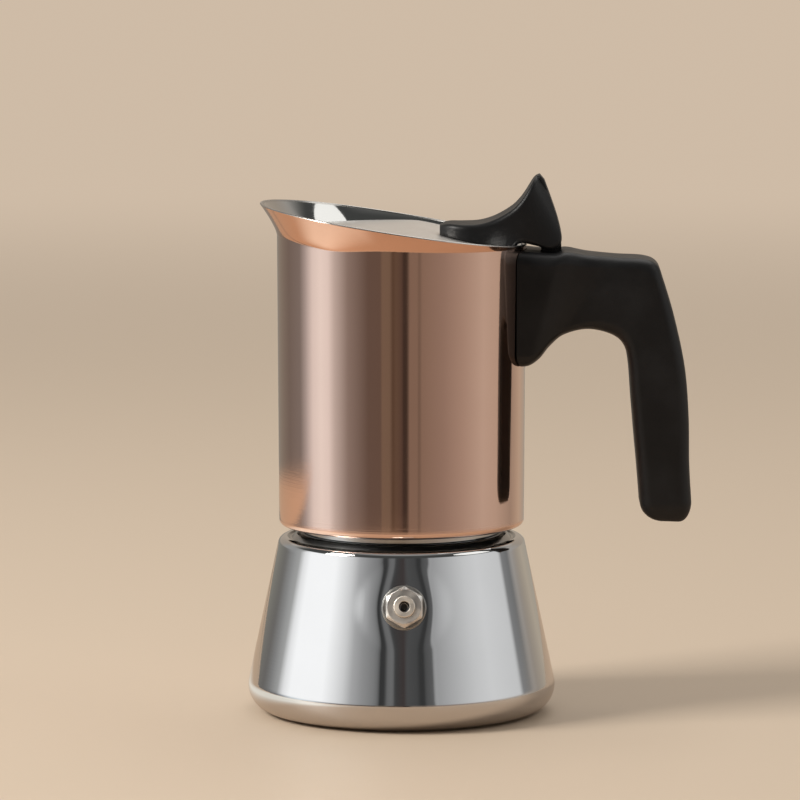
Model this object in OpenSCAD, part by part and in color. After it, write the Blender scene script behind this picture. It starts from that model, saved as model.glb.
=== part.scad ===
// Stove-top moka pot in millimetres, +Z up, standing on z = 0, handle along +X, spout along -X.
// A conical steel boiler carries a copper-finished collector with a slanted pouring rim, a hinged
// lid with a thumb lever, and a moulded handle. Funnel, filter, gasket, column and valve are inside.

/* [Boiler] */
// Largest radius of the boiler, at the top of its rounded foot
base_r = 47.5; // [46.5:0.25:48.5]
// Radius of the rounded foot
foot_r = 8; // [7:0.5:9]
// Lean of the boiler's side from the vertical, in degrees
side_lean = 12.1; // [11:0.1:13]
// Height of the boiler's flat shoulder
shoulder_z = 54.6; // [54.2:0.1:55]
// Sheet thickness of the boiler
boiler_wall = 0.9; // [0.7:0.1:1.1]
// Radius of the plate brazed under the boiler
disc_r = 36.3; // [34:0.1:36.4]

/* [Screw joint] */
// Lift of the collector for each full turn
thread_pitch = 3.6; // [3:0.1:4]
// Radius at the root of the boiler's thread
thread_root_r = 30.4; // [30.2:0.1:30.6]
// Depth of the rolled thread
thread_depth = 0.8; // [0.6:0.1:0.9]
// Radial play between the two threads
thread_play = 0.4; // [0.35:0.05:0.5]
// Height of the neck's rim, which the gasket closes
neck_top_z = 67; // [66.5:0.25:67]

/* [Collector] */
// Height of the collector's lower edge
skirt_z = 58.2; // [58:0.1:59.2]
// Radius of the collector at its lower edge
skirt_r = 37.8; // [37.6:0.1:38]
// Radius of the collector where its flare starts
body_r = 38.3; // [38.2:0.05:38.4]
// Sheet thickness of the collector
body_wall = 0.8; // [0.6:0.1:0.9]
// Height of the slanted rim above the centre line
rim_z = 151.2; // [150.8:0.1:151.6]
// Fall of the rim for each millimetre towards the handle
rim_slope = 0.154; // [0.15:0.001:0.156]
// Height of the collector's floor, where the gasket seats
floor_z = 70; // [70:0.5:71]

/* [Lid and lever] */
// Radius of the lid
lid_r = 36.9; // [36.5:0.1:37]
// Height of the level front part of the lid
lid_z = 149.5; // [149.3:0.1:149.7]
// Place along X where the lid bends down towards the hinge
lid_bend_x = 4.5; // [3:0.5:6]
// Fall of the rear part of the lid for each millimetre
lid_slope = 0.2; // [0.195:0.001:0.205]
// Sheet thickness of the lid
lid_wall = 0.7; // [0.6:0.1:0.8]
// Half the width of the thumb lever
lever_half = 10.3; // [9.8:0.1:10.6]

/* [Handle] */
// Half the width of the handle where it meets the collector
mount_half = 15; // [14.5:0.25:15.5]
// Half the width of the grip
grip_half = 11; // [10.5:0.25:11.5]
// Rounding of the handle's long edges
handle_round = 4; // [3:0.25:4.5]

/* [Safety valve] */
// Height of the valve on the boiler's side
valve_z = 38.2; // [37.4:0.2:39.4]
// Turn of the valve from the -Y direction towards the handle, in degrees
valve_turn = 2; // [0:0.5:4]
// Width of the valve's hexagon across its flats
hex_flats = 11; // [10:0.5:11.5]

/* [Hidden] */
$fn = 96;

steel = [0.78, 0.79, 0.8];
copper = [0.8, 0.52, 0.42];
black = [0.12, 0.12, 0.13];
nickel = [0.8, 0.77, 0.7];
silicone = [0.9, 0.9, 0.87];

// Shared shapes -------------------------------------------------------------------------------

// Points on an arc about [x, y], from angle a0 to a1, in n steps
function arc(x, y, r, a0, a1, n = 8) =
    [for (i = [0:n]) let (a = a0 + (a1 - a0) * i / n) [x + r * cos(a), y + r * sin(a)]];

// Smooth curve through the points p, at place t from 0 to len(p) - 1
function at(p, i) = p[max(0, min(len(p) - 1, i))];
function curve(p, t) =
    let (i = min(len(p) - 2, floor(t)), u = t - i,
         a = at(p, i - 1), b = at(p, i), c = at(p, i + 1), d = at(p, i + 2))
    0.5 * (2 * b + (c - a) * u + (2 * a - 5 * b + 4 * c - d) * u * u
           + (3 * b - a - 3 * c + d) * u * u * u);

// Solid between the rings of a tube that goes once round an axis: rings[i][k], closed both ways
module ring_solid(rings) {
    n = len(rings);
    m = len(rings[0]);
    polyhedron(
        points = [for (r = rings) each r],
        faces = [for (i = [0:n - 1], k = [0:m - 1])
                 let (j = (i + 1) % n, l = (k + 1) % m)
                 each [[i * m + k, j * m + k, j * m + l], [i * m + k, j * m + l, i * m + l]]]);
}

// Solid through rings from end to end, with a flat cap at each end
module skin_solid(rings) {
    n = len(rings);
    m = len(rings[0]);
    polyhedron(
        points = [for (r = rings) each r],
        faces = [for (i = [0:n - 2], k = [0:m - 1])
                 let (l = (k + 1) % m)
                 each [[i * m + k, (i + 1) * m + k, (i + 1) * m + l],
                       [i * m + k, (i + 1) * m + l, i * m + l]],
                 [for (k = [m - 1:-1:0]) k],
                 [for (k = [0:m - 1]) (n - 1) * m + k]]);
}

// Rounded rectangle in space between the points a and b of the XZ plane, w either side of it
function section(a, b, w, r) =
    let (v = b - a, l = norm(v), e = v / l, c = min(r, l / 2 - 0.02, w - 0.02),
         steps = [0:22.5:90])
    [for (q = [0:3], s = steps)
     let (g = q * 90 + s,
          sx = (q == 0 || q == 3) ? 1 : -1,
          sy = (q < 2) ? 1 : -1,
          along = l / 2 + sx * (l / 2 - c) + c * cos(g),
          side = sy * (w - c) + c * sin(g))
     [a[0] + e[0] * along, side, a[1] + e[1] * along]];

// Rolled thread: 0 in the groove and 1 on the ridge, at angle a and height z
function ridge(a, z) = 0.5 - 0.5 * cos(360 * z / thread_pitch - a);
// Fades from 0 to 1 over the length f above z0, and back to 0 below z1
function window(z, z0, z1, f = 0.6) = max(0, min(1, (z - z0) / f, (z1 - z) / f));

// Perforated disc: rings of holes, each ring with six more holes than the last
module perforated(r, h, hole_r, rings, step) {
    difference() {
        cylinder(r = r, h = h);
        for (k = [0:rings], i = [0:max(0, 6 * k - 1)])
            rotate([0, 0, i * 60 / max(1, k)]) translate([k * step, 0, -1])
                cylinder(r = hole_r, h = h + 2, $fn = 24);
    }
}

// Boiler --------------------------------------------------------------------------------------

foot_lift = 0.3;
disc_h = 1.5;
corner_r = 2.5;
neck_in_r = 28.8;
lip_z = 56;
foot_c = [base_r - foot_r, foot_lift + foot_r];
// Distance of the side's line from the origin, measured square to it
side_d = foot_c[0] * cos(side_lean) + foot_c[1] * sin(side_lean) + foot_r;
corner_c = [(side_d - corner_r - (shoulder_z - corner_r) * sin(side_lean)) / cos(side_lean),
            shoulder_z - corner_r];

// Shoulder from its rounded corner in to the neck, at depth t below the outer face
function shoulder(t) =
    [[35.2, shoulder_z - t], [34.5, shoulder_z - 0.5 - t], [33.9, shoulder_z - 0.5 - t],
     [32.6, lip_z - 0.3 - t], [31.8, lip_z - t], [neck_in_r, lip_z - t]];

module boiler_shell() {
    t = boiler_wall;
    outer = concat([[0, disc_h], [disc_r + 0.2, disc_h], [disc_r + 0.8, foot_lift]],
                   arc(foot_c[0], foot_c[1], foot_r, -90, side_lean),
                   arc(corner_c[0], corner_c[1], corner_r, side_lean, 90),
                   shoulder(0));
    inner = concat([[0, disc_h + t], [disc_r + 0.8, disc_h + t], [disc_r + 1.4, foot_lift + t]],
                   arc(foot_c[0], foot_c[1], foot_r - t, -90, side_lean),
                   arc(corner_c[0], corner_c[1], corner_r - t, side_lean, 90),
                   shoulder(t));
    n = len(inner);
    color(steel) difference() {
        rotate_extrude() polygon(concat(outer, [for (i = [n - 1:-1:0]) inner[i]]));
        on_valve_axis() translate([0, 0, -10]) cylinder(r = valve_shank_r + 0.1, h = 20);
    }
}

module base_disc() {
    color(steel) rotate_extrude()
        polygon([[0, 0], [disc_r - 0.5, 0], [disc_r, 0.5], [disc_r, disc_h], [0, disc_h]]);
}

// Rows of the threaded tubes, and the number of points round them
row_h = 0.6;
round_n = 40;

module boiler_neck() {
    z_in = lip_z;
    rows = ceil((neck_top_z - z_in) / row_h);
    color(steel) ring_solid(
        [for (i = [0:round_n - 1])
         let (a = -i * 360 / round_n)
         concat(
             [for (k = [0:rows])
              let (z = z_in + (neck_top_z - z_in) * k / rows,
                   r = thread_root_r + thread_depth * ridge(a, z)
                       * window(z, skirt_z + 0.6, neck_top_z - 0.6))
              [r * cos(a), r * sin(a), z]],
             [[neck_in_r * cos(a), neck_in_r * sin(a), neck_top_z],
              [neck_in_r * cos(a), neck_in_r * sin(a), z_in]])]);
}

// Safety valve: its axis is square to the boiler's side, distances along it start at the wall --

valve_shank_r = 4;
valve_surface = (side_d - valve_z * sin(side_lean)) / cos(side_lean);
head_s0 = 1.3;
head_s1 = 5.8;
shank_end = -7.5;
seat_s = -6.2;
bush_r = 3.25;
bush_hole_r = 1.65;
bush_s0 = 2.7;
poppet_r = 2.2;
stem_r = 1;
spring_wire_r = 0.25;
spring_coil_r = 1.75;
spring_turns = 7;

module on_valve_axis() {
    rotate([0, 0, valve_turn]) translate([0, -valve_surface, valve_z])
        rotate([90 - side_lean, 0, 0]) children();
}

module valve_body() {
    hex_r = hex_flats / 2 / cos(30);
    color(nickel) on_valve_axis() difference() {
        union() {
            intersection() {
                rotate([0, 0, 90]) translate([0, 0, head_s0])
                    cylinder(r = hex_r, h = head_s1 - head_s0, $fn = 6);
                translate([0, 0, head_s0 - 0.1]) cylinder(r1 = hex_r + 4.6, r2 = hex_r - 0.7,
                                                          h = head_s1 - head_s0 + 0.1);
            }
            translate([0, 0, shank_end]) cylinder(r = valve_shank_r, h = head_s0 - shank_end + 0.5);
        }
        translate([0, 0, seat_s]) cylinder(r = 2.6, h = 20);
        translate([0, 0, shank_end - 1]) cylinder(r = 1.2, h = 5);
        translate([0, 0, head_s1 - 0.6]) cylinder(r = bush_r + 0.05, h = 2);
    }
}

module valve_washer() {
    color(nickel) on_valve_axis() translate([0, 0, 0.05])
        rotate_extrude() polygon([[4.1, 0], [6.8, 0], [6.8, 0.7], [6.4, 1.2], [4.1, 1.2]]);
}

module valve_nut() {
    color(nickel) on_valve_axis() translate([0, 0, -4.8]) difference() {
        cylinder(r = 6.3, h = 3, $fn = 6);
        translate([0, 0, -1]) cylinder(r = valve_shank_r + 0.02, h = 5);
    }
}

module valve_bush() {
    color(nickel) on_valve_axis() difference() {
        union() {
            translate([0, 0, bush_s0]) cylinder(r = 2.58, h = head_s1 - 0.6 - bush_s0);
            translate([0, 0, head_s1 - 0.6]) cylinder(r = bush_r, h = 0.9);
            translate([0, 0, head_s1 + 0.3]) cylinder(r1 = bush_r, r2 = bush_r - 0.3, h = 0.3);
        }
        cylinder(r = bush_hole_r, h = 10);
    }
}

module valve_poppet() {
    color(nickel) on_valve_axis() union() {
        translate([0, 0, seat_s]) cylinder(r = poppet_r, h = 1);
        translate([0, 0, seat_s + 0.9]) cylinder(r = stem_r, h = 10.2);
    }
}

module valve_spring() {
    s0 = seat_s + 1 + spring_wire_r + 0.02;
    s1 = bush_s0 - spring_wire_r - 0.02;
    steps = 14;
    sides = 6;
    n = spring_turns * steps;
    color(steel) on_valve_axis() skin_solid(
        [for (i = [0:n])
         let (a = i * 360 / steps, s = s0 + (s1 - s0) * i / n)
         [for (k = [0:sides - 1])
          let (b = k * 360 / sides, r = spring_coil_r + spring_wire_r * cos(b))
          [r * cos(a), r * sin(a), s + spring_wire_r * sin(b)]]]);
}

// Funnel --------------------------------------------------------------------------------------

basket_r = 28.2;
basket_wall = 0.5;
basket_z = 48;
flange_r = 30.2;
tube_r = 3.7;
cone_z = 42;

module funnel_basket() {
    w = basket_wall;
    color(steel) rotate_extrude() polygon([
        [tube_r, cone_z], [basket_r, basket_z], [basket_r, neck_top_z], [flange_r, neck_top_z],
        [flange_r, neck_top_z + w], [basket_r - w, neck_top_z + w], [basket_r - w, basket_z + w / 2],
        [tube_r, cone_z + w]]);
}

module funnel_sieve() {
    color(steel) translate([0, 0, basket_z + 0.3])
        perforated(basket_r - basket_wall - 0.1, 0.5, 1, 4, 5.6);
}

module funnel_tube() {
    color(steel) translate([0, 0, 6]) difference() {
        cylinder(r = tube_r - 0.02, h = cone_z + basket_wall - 6);
        translate([0, 0, -1]) cylinder(r = tube_r - basket_wall, h = 60);
        rotate([0, 22, 0]) translate([-6, -6, -6]) cube([12, 12, 6]);
    }
}

// Seal ----------------------------------------------------------------------------------------

gasket_in_r = 25.6;
gasket_out_r = 31;

module gasket() {
    color(silicone) rotate_extrude() translate([gasket_in_r, neck_top_z + basket_wall])
        square([gasket_out_r - gasket_in_r, floor_z - neck_top_z - basket_wall]);
}

module filter_plate() {
    color(steel) union() {
        translate([0, 0, floor_z - 1.6]) perforated(gasket_in_r - 0.3, 0.6, 0.9, 5, 4.4);
        rotate_extrude() translate([gasket_in_r - 0.9, floor_z - 1.1]) square([0.6, 1.1]);
    }
}

// Collector -----------------------------------------------------------------------------------

skirt_round = 1.8;
skirt_in_r = 33.4;
flare_steps = 5;

// Height where the flare starts, at place x
function crease_z(x) = rim_z - 5.6 - 0.0425 * x + 0.00046 * x * x;
// How far a flare of height h leans out
function flare(h) = h * (0.3 + 0.0213 * h);
// Radius of the rim at angle a, found by three rounds of rim height, then radius
function rim_radius(a, r = 40, n = 3) =
    n == 0 ? r
    : rim_radius(a, body_r + flare(rim_z - rim_slope * r * cos(a)
                                   - crease_z(body_r * cos(a))), n - 1);
// Outer face at angle a from the rounded lower edge to the rim, set in by t
function shell_face(a, t) =
    let (zc = crease_z(body_r * cos(a)), rr = rim_radius(a),
         zr = rim_z - rim_slope * rr * cos(a), q = skirt_round)
    concat([[skirt_in_r, skirt_z + t]],
           arc(skirt_r - q, skirt_z + q, q - t, -90, 0, 4),
           [for (i = [0:flare_steps])
            let (u = i / flare_steps)
            [body_r - t + (rr - body_r) * pow(u, 1.3), zc + (zr - zc) * u]]);

module collector_shell() {
    n = 72;
    color(copper) ring_solid(
        [for (i = [0:n - 1])
         let (a = -i * 360 / n, out = shell_face(a, 0), in = shell_face(a, body_wall),
              loop = concat(out, [for (k = [len(in) - 1:-1:0]) in[k]]))
         [for (p = loop) [p[0] * cos(a), p[0] * sin(a), p[1]]]]);
}

column_seat_z = 75;

module collector_floor() {
    w = 0.8;
    color(steel) rotate_extrude() polygon([
        [skirt_r - body_wall - 0.1, floor_z], [skirt_r - body_wall - 0.1, floor_z + w],
        [24, floor_z + w], [7.4, column_seat_z], [4.6, column_seat_z],
        [4.6, column_seat_z - w], [7, column_seat_z - w], [23.8, floor_z]]);
}

module threaded_ring() {
    z0 = skirt_z + 0.3;
    rows = ceil((floor_z - z0) / row_h);
    crest = thread_root_r + thread_play;
    out_r = skirt_in_r - 0.2;
    color(steel) ring_solid(
        [for (i = [0:round_n - 1])
         let (a = -i * 360 / round_n)
         concat(
             [[out_r * cos(a), out_r * sin(a), z0], [out_r * cos(a), out_r * sin(a), floor_z]],
             [for (k = [rows:-1:0])
              let (z = z0 + (floor_z - z0) * k / rows,
                   r = crest + thread_depth
                       * (1 - (1 - ridge(a, z)) * window(z, z0 + 0.6, neck_top_z - 0.6)))
              [r * cos(a), r * sin(a), z]])]);
}

column_top_z = 118;

module column() {
    color(steel) translate([0, 0, column_seat_z]) difference() {
        union() {
            cylinder(r1 = 6.6, r2 = 5.2, h = column_top_z - column_seat_z);
            cylinder(r = 7.3, h = 0.8);
        }
        translate([0, 0, -1]) cylinder(r = 4.4, h = 60);
    }
}

module column_cap() {
    color(steel) translate([0, 0, column_top_z - 4]) difference() {
        union() {
            cylinder(r = 6.6, h = 9);
            translate([0, 0, 9]) cylinder(r1 = 6.6, r2 = 4.6, h = 1.4);
        }
        translate([0, 0, -1]) cylinder(r = 5.45, h = 5);
        translate([0, 0, 3]) cylinder(r = 4.6, h = 6);
        for (side = [0, 180]) rotate([0, 0, side]) translate([2, -2.5, 5.2]) cube([8, 5, 2.6]);
    }
}

// Handle: drawn as pairs of points on its outer and its inner outline, in the XZ plane ---------

handle_outer = [[34, 144], [46, 142.9], [50.8, 143.4], [57, 142.4], [66, 141.6], [74.4, 141.1],
                [78.4, 139.3], [80.3, 134.8], [83.8, 123], [87, 108], [88.3, 93], [88.6, 78],
                [89.3, 66]];
handle_inner = [[34, 108.6], [38.5, 108.4], [42.2, 110.5], [45.6, 114.4], [49.9, 117.8],
                [57, 119.5], [64, 118.1], [68, 115], [69.7, 109], [70.7, 97], [71.7, 85.5],
                [72.6, 76], [73.4, 66.5]];
grip_cap = 6.2;
cap_outer = 3.6;
cap_inner = 7;
pin_x = 46;
pin_z = 147;
pin_r = 1.5;
tongue_half = 4;

// Half width of the handle at place t along its outlines
function handle_half(t) = let (u = max(0, min(1, (t - 1) / 3)))
    mount_half + (grip_half - mount_half) * u * u * (3 - 2 * u);

module handle_blank() {
    last = len(handle_outer) - 1;
    end_o = handle_outer[last];
    end_i = handle_inner[last];
    across = (end_i - end_o) / norm(end_i - end_o);
    down = [across[1], -across[0]];
    skin_solid(concat(
        [for (t = [0:1 / 3:last - 0.01])
         section(curve(handle_outer, t), curve(handle_inner, t), handle_half(t), handle_round)],
        [for (g = [0:15:90])
         let (k = 1 - cos(g), drop = grip_cap * sin(g))
         section(end_o + across * cap_outer * k - down * drop,
                 end_i - across * cap_inner * k - down * drop,
                 grip_half - handle_round * k, handle_round - (handle_round - 0.5) * k)]));
}

module along_y(x, z, r, y0, y1) {
    translate([x, y1, z]) rotate([90, 0, 0]) cylinder(r = r, h = y1 - y0);
}

screw_x = 42.6;
screw_head_z = 115.2;
screw_head_h = 2.2;
screw_head_r = 2.8;
screw_r = 1.6;
lug_z = 119;
lug_h = 2.5;
lug_gap = 14;
pad_z = 114;
pad_h = 24;

module handle() {
    color(black) difference() {
        union() {
            handle_blank();
            along_y(pin_x, pin_z, 3, -tongue_half, tongue_half);
            translate([0, tongue_half, 0]) rotate([90, 0, 0]) linear_extrude(2 * tongue_half)
                polygon([[42.8, 140], [43, pin_z], [49, pin_z], [49.2, 142], [49.2, 140]]);
        }
        translate([0, 0, 100]) cylinder(r = body_r + 0.15, h = 50);
        along_y(pin_x, pin_z, pin_r + 0.01, -20, 20);
        // Pockets for the bracket's pad and its two lugs
        translate([30, -7.2, pad_z - 0.2]) cube([9.8, 14.4, pad_h + 0.4]);
        for (z = [lug_z, lug_z + lug_gap])
            translate([38, -6.2, z - 0.15]) cube([14.2, 12.4, lug_h + 0.3]);
        // Hole for the screw from below, with its head sunk in the mount
        translate([screw_x, 0, 100]) cylinder(r = screw_r + 0.1, h = 27);
        translate([screw_x, 0, 100]) cylinder(r = screw_head_r + 0.2,
                                              h = screw_head_z + screw_head_h - 100);
    }
}

module handle_bracket() {
    color(steel) difference() {
        union() {
            intersection() {
                translate([30, -7, pad_z]) cube([9.6, 14, pad_h]);
                difference() {
                    translate([0, 0, 110]) cylinder(r = 60, h = 40);
                    translate([0, 0, 109]) cylinder(r = body_r + 0.03, h = 42);
                }
            }
            for (z = [lug_z, lug_z + lug_gap]) translate([39, -6, z]) cube([13, 12, lug_h]);
        }
        translate([screw_x, 0, 100]) cylinder(r = screw_r + 0.02, h = 25);
    }
}

module handle_screw() {
    color(steel) translate([screw_x, 0, 0]) difference() {
        union() {
            translate([0, 0, screw_head_z]) cylinder(r = screw_head_r, h = screw_head_h);
            translate([0, 0, screw_head_z]) cylinder(r = screw_r, h = 10.5);
        }
        translate([-2, -0.4, screw_head_z - 1]) cube([4, 0.8, 2]);
    }
}

module hinge_pin() {
    color(steel) along_y(pin_x, pin_z, pin_r, -8.5, lever_half - 0.2);
}

// Lid -----------------------------------------------------------------------------------------

lid_lean = atan(lid_slope);
screw_places = [20, 29];

function lid_top(x) = lid_z - lid_slope * max(0, x - lid_bend_x);

// Places children square to the rear part of the lid, on its top face at place x
module on_lid(x) {
    translate([x, 0, lid_top(x)]) rotate([0, lid_lean, 0]) children();
}

module lid_plate() {
    far = 40;
    color(steel) difference() {
        intersection() {
            translate([0, 0, 100]) cylinder(r = lid_r, h = 80);
            translate([0, 50, 0]) rotate([90, 0, 0]) linear_extrude(100) polygon([
                [-far, lid_z], [lid_bend_x, lid_z], [far, lid_top(far)],
                [far, lid_top(far) - lid_wall], [lid_bend_x, lid_z - lid_wall],
                [-far, lid_z - lid_wall]]);
        }
        for (x = screw_places) on_lid(x) translate([0, 0, -5]) cylinder(r = 1.7, h = 10);
    }
}

lever_upper = [[11.8, 151], [14.6, 151.7], [19, 151.6], [24.2, 151.9], [29, 153.4],
               [33.8, 156.2], [36.4, 158.7], [38.2, 161.2], [39.5, 163.4], [40.6, 165.2],
               [41.5, 166.2]];
lever_lower = [[11.8, 147.6], [14.6, 147], [20, 146], [27, 144.6], [33.4, 143.6],
               [36.4, 145.95], [41.2, 145.2], [46.4, 143.8], [49.1, 146.6], [48.2, 152.4],
               [45.6, 160.3]];
nose_x = 21;

// Half width of the lever at place t: a round nose, then level, then round again up the horn
function lever_width(t) =
    let (x = curve(lever_upper, t)[0], u = max(0, (nose_x - x) / (nose_x - 11)),
         v = max(0, (t - 5) / 5.7))
    lever_half * sqrt(1 - u * u) * sqrt(1 - v * v);

module lid_lever() {
    last = len(lever_upper) - 1;
    a = lever_upper[last];
    b = lever_lower[last];
    tip = [43.4, 166.2];
    color(black) difference() {
        skin_solid(concat(
            [for (t = [0:1 / 3:last - 0.01])
             section(curve(lever_upper, t), curve(lever_lower, t), lever_width(t), 1.3)],
            [section(a, b, lever_width(last), 1.3),
             section(a + (tip - a) * 0.5 + [0, 0.3], b + (tip - b) * 0.75,
                     lever_width(last) - 0.4, 0.9)]));
        // Underside, just clear of the lid
        translate([0, 20, 0]) rotate([90, 0, 0]) linear_extrude(40) polygon([
            [0, 130], [0, lid_z + 0.1], [lid_bend_x, lid_z + 0.1], [35, lid_top(35) + 0.1],
            [35, 130]]);
        // Slot for the handle's tongue, and the bore for the pin, blind on the near side
        translate([pin_x - 3.6, -tongue_half - 0.3, 140]) cube([12, 2 * tongue_half + 0.6,
                                                              pin_z + 3.6 - 140]);
        along_y(pin_x, pin_z, pin_r + 0.05, -8.7, 20);
        for (x = screw_places) on_lid(x) translate([0, 0, -1]) cylinder(r = 1.55, h = 5.2);
    }
}

module lid_screws() {
    color(steel) for (x = screw_places) on_lid(x) translate([0, 0, -lid_wall]) difference() {
        union() {
            translate([0, 0, -1.6]) cylinder(r = 2.8, h = 1.6);
            translate([0, 0, -0.1]) cylinder(r = 1.5, h = 4.7);
        }
        translate([-2, -0.4, -2]) cube([4, 0.8, 1.2]);
    }
}

boiler_shell();
base_disc();
boiler_neck();
valve_body();
valve_washer();
valve_nut();
valve_bush();
valve_spring();
valve_poppet();
funnel_basket();
funnel_sieve();
funnel_tube();
gasket();
filter_plate();
collector_shell();
collector_floor();
threaded_ring();
column();
column_cap();
handle();
handle_bracket();
handle_screw();
hinge_pin();
lid_plate();
lid_lever();
lid_screws();
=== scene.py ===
"""Stove-top moka pot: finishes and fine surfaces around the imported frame, in metres, +Z up."""

import bpy
import numpy as np
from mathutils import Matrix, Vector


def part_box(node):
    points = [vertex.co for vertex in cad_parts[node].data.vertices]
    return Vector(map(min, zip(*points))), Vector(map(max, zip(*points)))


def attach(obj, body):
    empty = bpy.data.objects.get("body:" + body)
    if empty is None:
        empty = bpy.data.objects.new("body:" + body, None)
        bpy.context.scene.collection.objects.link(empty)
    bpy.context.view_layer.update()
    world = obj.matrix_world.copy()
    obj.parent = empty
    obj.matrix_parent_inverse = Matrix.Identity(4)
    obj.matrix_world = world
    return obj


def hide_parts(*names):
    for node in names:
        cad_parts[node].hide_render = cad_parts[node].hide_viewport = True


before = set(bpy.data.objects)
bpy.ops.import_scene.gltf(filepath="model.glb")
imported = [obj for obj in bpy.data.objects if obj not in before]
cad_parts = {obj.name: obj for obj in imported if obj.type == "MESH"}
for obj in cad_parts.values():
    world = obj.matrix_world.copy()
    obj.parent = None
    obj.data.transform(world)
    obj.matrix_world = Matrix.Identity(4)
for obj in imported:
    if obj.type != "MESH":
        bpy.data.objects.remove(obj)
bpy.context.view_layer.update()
MM = 0.001


# Camera -------------------------------------------------------------------------------------
# A long lens a little above the pot, looking slightly down. It stands square to the plane of
# the handle but for one degree.

CAMERA_TURN = np.radians(1.0)
CAMERA_PITCH = np.radians(6.58)
CAMERA_DISTANCE = 1.6
CAMERA_HEIGHT = 0.2812
CAMERA_ASIDE = -0.00047

camera = bpy.data.objects.new("camera", bpy.data.cameras.new("camera"))
bpy.context.scene.collection.objects.link(camera)
camera.data.lens = 234.86
camera.data.sensor_width = 36
camera.data.clip_end = 50
camera.location = (
    CAMERA_ASIDE * np.cos(CAMERA_TURN) + CAMERA_DISTANCE * np.sin(CAMERA_TURN),
    CAMERA_ASIDE * np.sin(CAMERA_TURN) - CAMERA_DISTANCE * np.cos(CAMERA_TURN),
    CAMERA_HEIGHT,
)
camera.rotation_euler = (np.pi / 2 - CAMERA_PITCH, 0, CAMERA_TURN)
bpy.context.scene.camera = camera
bpy.context.scene.view_settings.view_transform = "Standard"


# Room ---------------------------------------------------------------------------------------
# A pale floor that fades into a background of its own colour, even light from all round, and
# what polished metal shows of the room: a tall window on the left, a dark gap by the camera.

FLOOR_COLOR = (0.62, 0.50, 0.385)
FLOOR_IN_METAL = (0.50, 0.365, 0.26)
FLOOR_GLEAM = (0.84, 0.82, 0.76)
AMBIENT = (0.43, 0.42, 0.40)


class Nodes:
    """Builds a node tree: add(type, inputs by name or number, settings) gives the new node."""

    def __init__(self, tree):
        self.tree = tree
        tree.nodes.clear()

    def add(self, kind, inputs=None, **settings):
        node = self.tree.nodes.new(kind)
        for key, value in settings.items():
            setattr(node, key, value)
        for key, value in (inputs or {}).items():
            if isinstance(value, bpy.types.NodeSocket):
                self.tree.links.new(value, node.inputs[key])
            else:
                node.inputs[key].default_value = value
        return node

    def math(self, operation, a, b=0.0):
        return self.add("ShaderNodeMath", {0: a, 1: b}, operation=operation).outputs[0]

    def fade(self, value, low, high, out_low=0.0, out_high=1.0):
        """Smooth step of value from low to high, given as out_low to out_high."""
        node = self.add(
            "ShaderNodeMapRange",
            {"Value": value, "From Min": low, "From Max": high,
             "To Min": out_low, "To Max": out_high},
            interpolation_type="SMOOTHSTEP",
        )
        return node.outputs["Result"]

    def mix(self, factor, a, b):
        """Colour a where factor is 0, and b where it is 1."""
        node = self.add("ShaderNodeMix", {"Factor": factor}, data_type="RGBA")
        for socket, value in ((node.inputs[6], a), (node.inputs[7], b)):
            if isinstance(value, bpy.types.NodeSocket):
                self.tree.links.new(value, socket)
            else:
                socket.default_value = (*value, 1)
        return node.outputs[2]

    def ramp(self, factor, stops):
        """Colour ramp with stops given as (place, grey) or (place, (r, g, b))."""
        node = self.add("ShaderNodeValToRGB", {0: factor})
        elements = node.color_ramp.elements
        while len(elements) < len(stops):
            elements.new(0.5)
        for element, (place, color) in zip(elements, stops):
            element.position = place
            element.color = (*color, 1) if isinstance(color, tuple) else (color, color, color, 1)
        return node.outputs["Color"]


def around(stops):
    """Stops given in degrees, from -180 behind the pot by 0 at the camera, as places 0 to 1."""
    return [(angle / 360 + 0.5, color) for angle, color in stops]


# What upright walls of the pot show of the room
LOW_BAND = around([
    (-180, (0.30, 0.28, 0.24)), (-150, (0.24, 0.23, 0.20)), (-128, (0.18, 0.17, 0.16)),
    (-108, (0.22, 0.22, 0.22)), (-100, (0.42, 0.44, 0.46)), (-90, (0.78, 0.83, 0.87)),
    (-80, (0.88, 0.95, 0.99)), (-71, (0.82, 0.87, 0.91)), (-64, (0.56, 0.58, 0.59)),
    (-50, (0.27, 0.25, 0.24)), (-30, (0.135, 0.107, 0.092)), (-18, (0.135, 0.105, 0.088)),
    (-17, (0.19, 0.148, 0.113)), (-10, (0.185, 0.145, 0.11)), (-7, (0.10, 0.07, 0.05)),
    (-4, (0.13, 0.095, 0.07)), (1, (0.105, 0.075, 0.06)), (3, (0.05, 0.036, 0.03)),
    (6.5, (0.06, 0.045, 0.036)), (8, (0.235, 0.183, 0.148)), (16, (0.235, 0.183, 0.148)),
    (17.5, (0.14, 0.11, 0.09)), (19, (0.25, 0.196, 0.16)), (40, (0.31, 0.25, 0.215)),
    (60, (0.41, 0.345, 0.30)), (83, (0.53, 0.475, 0.42)), (100, (0.50, 0.44, 0.38)),
    (125, (0.36, 0.31, 0.26)), (145, (0.50, 0.43, 0.34)), (165, (0.40, 0.36, 0.30)),
    (180, (0.30, 0.28, 0.24)),
])
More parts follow.
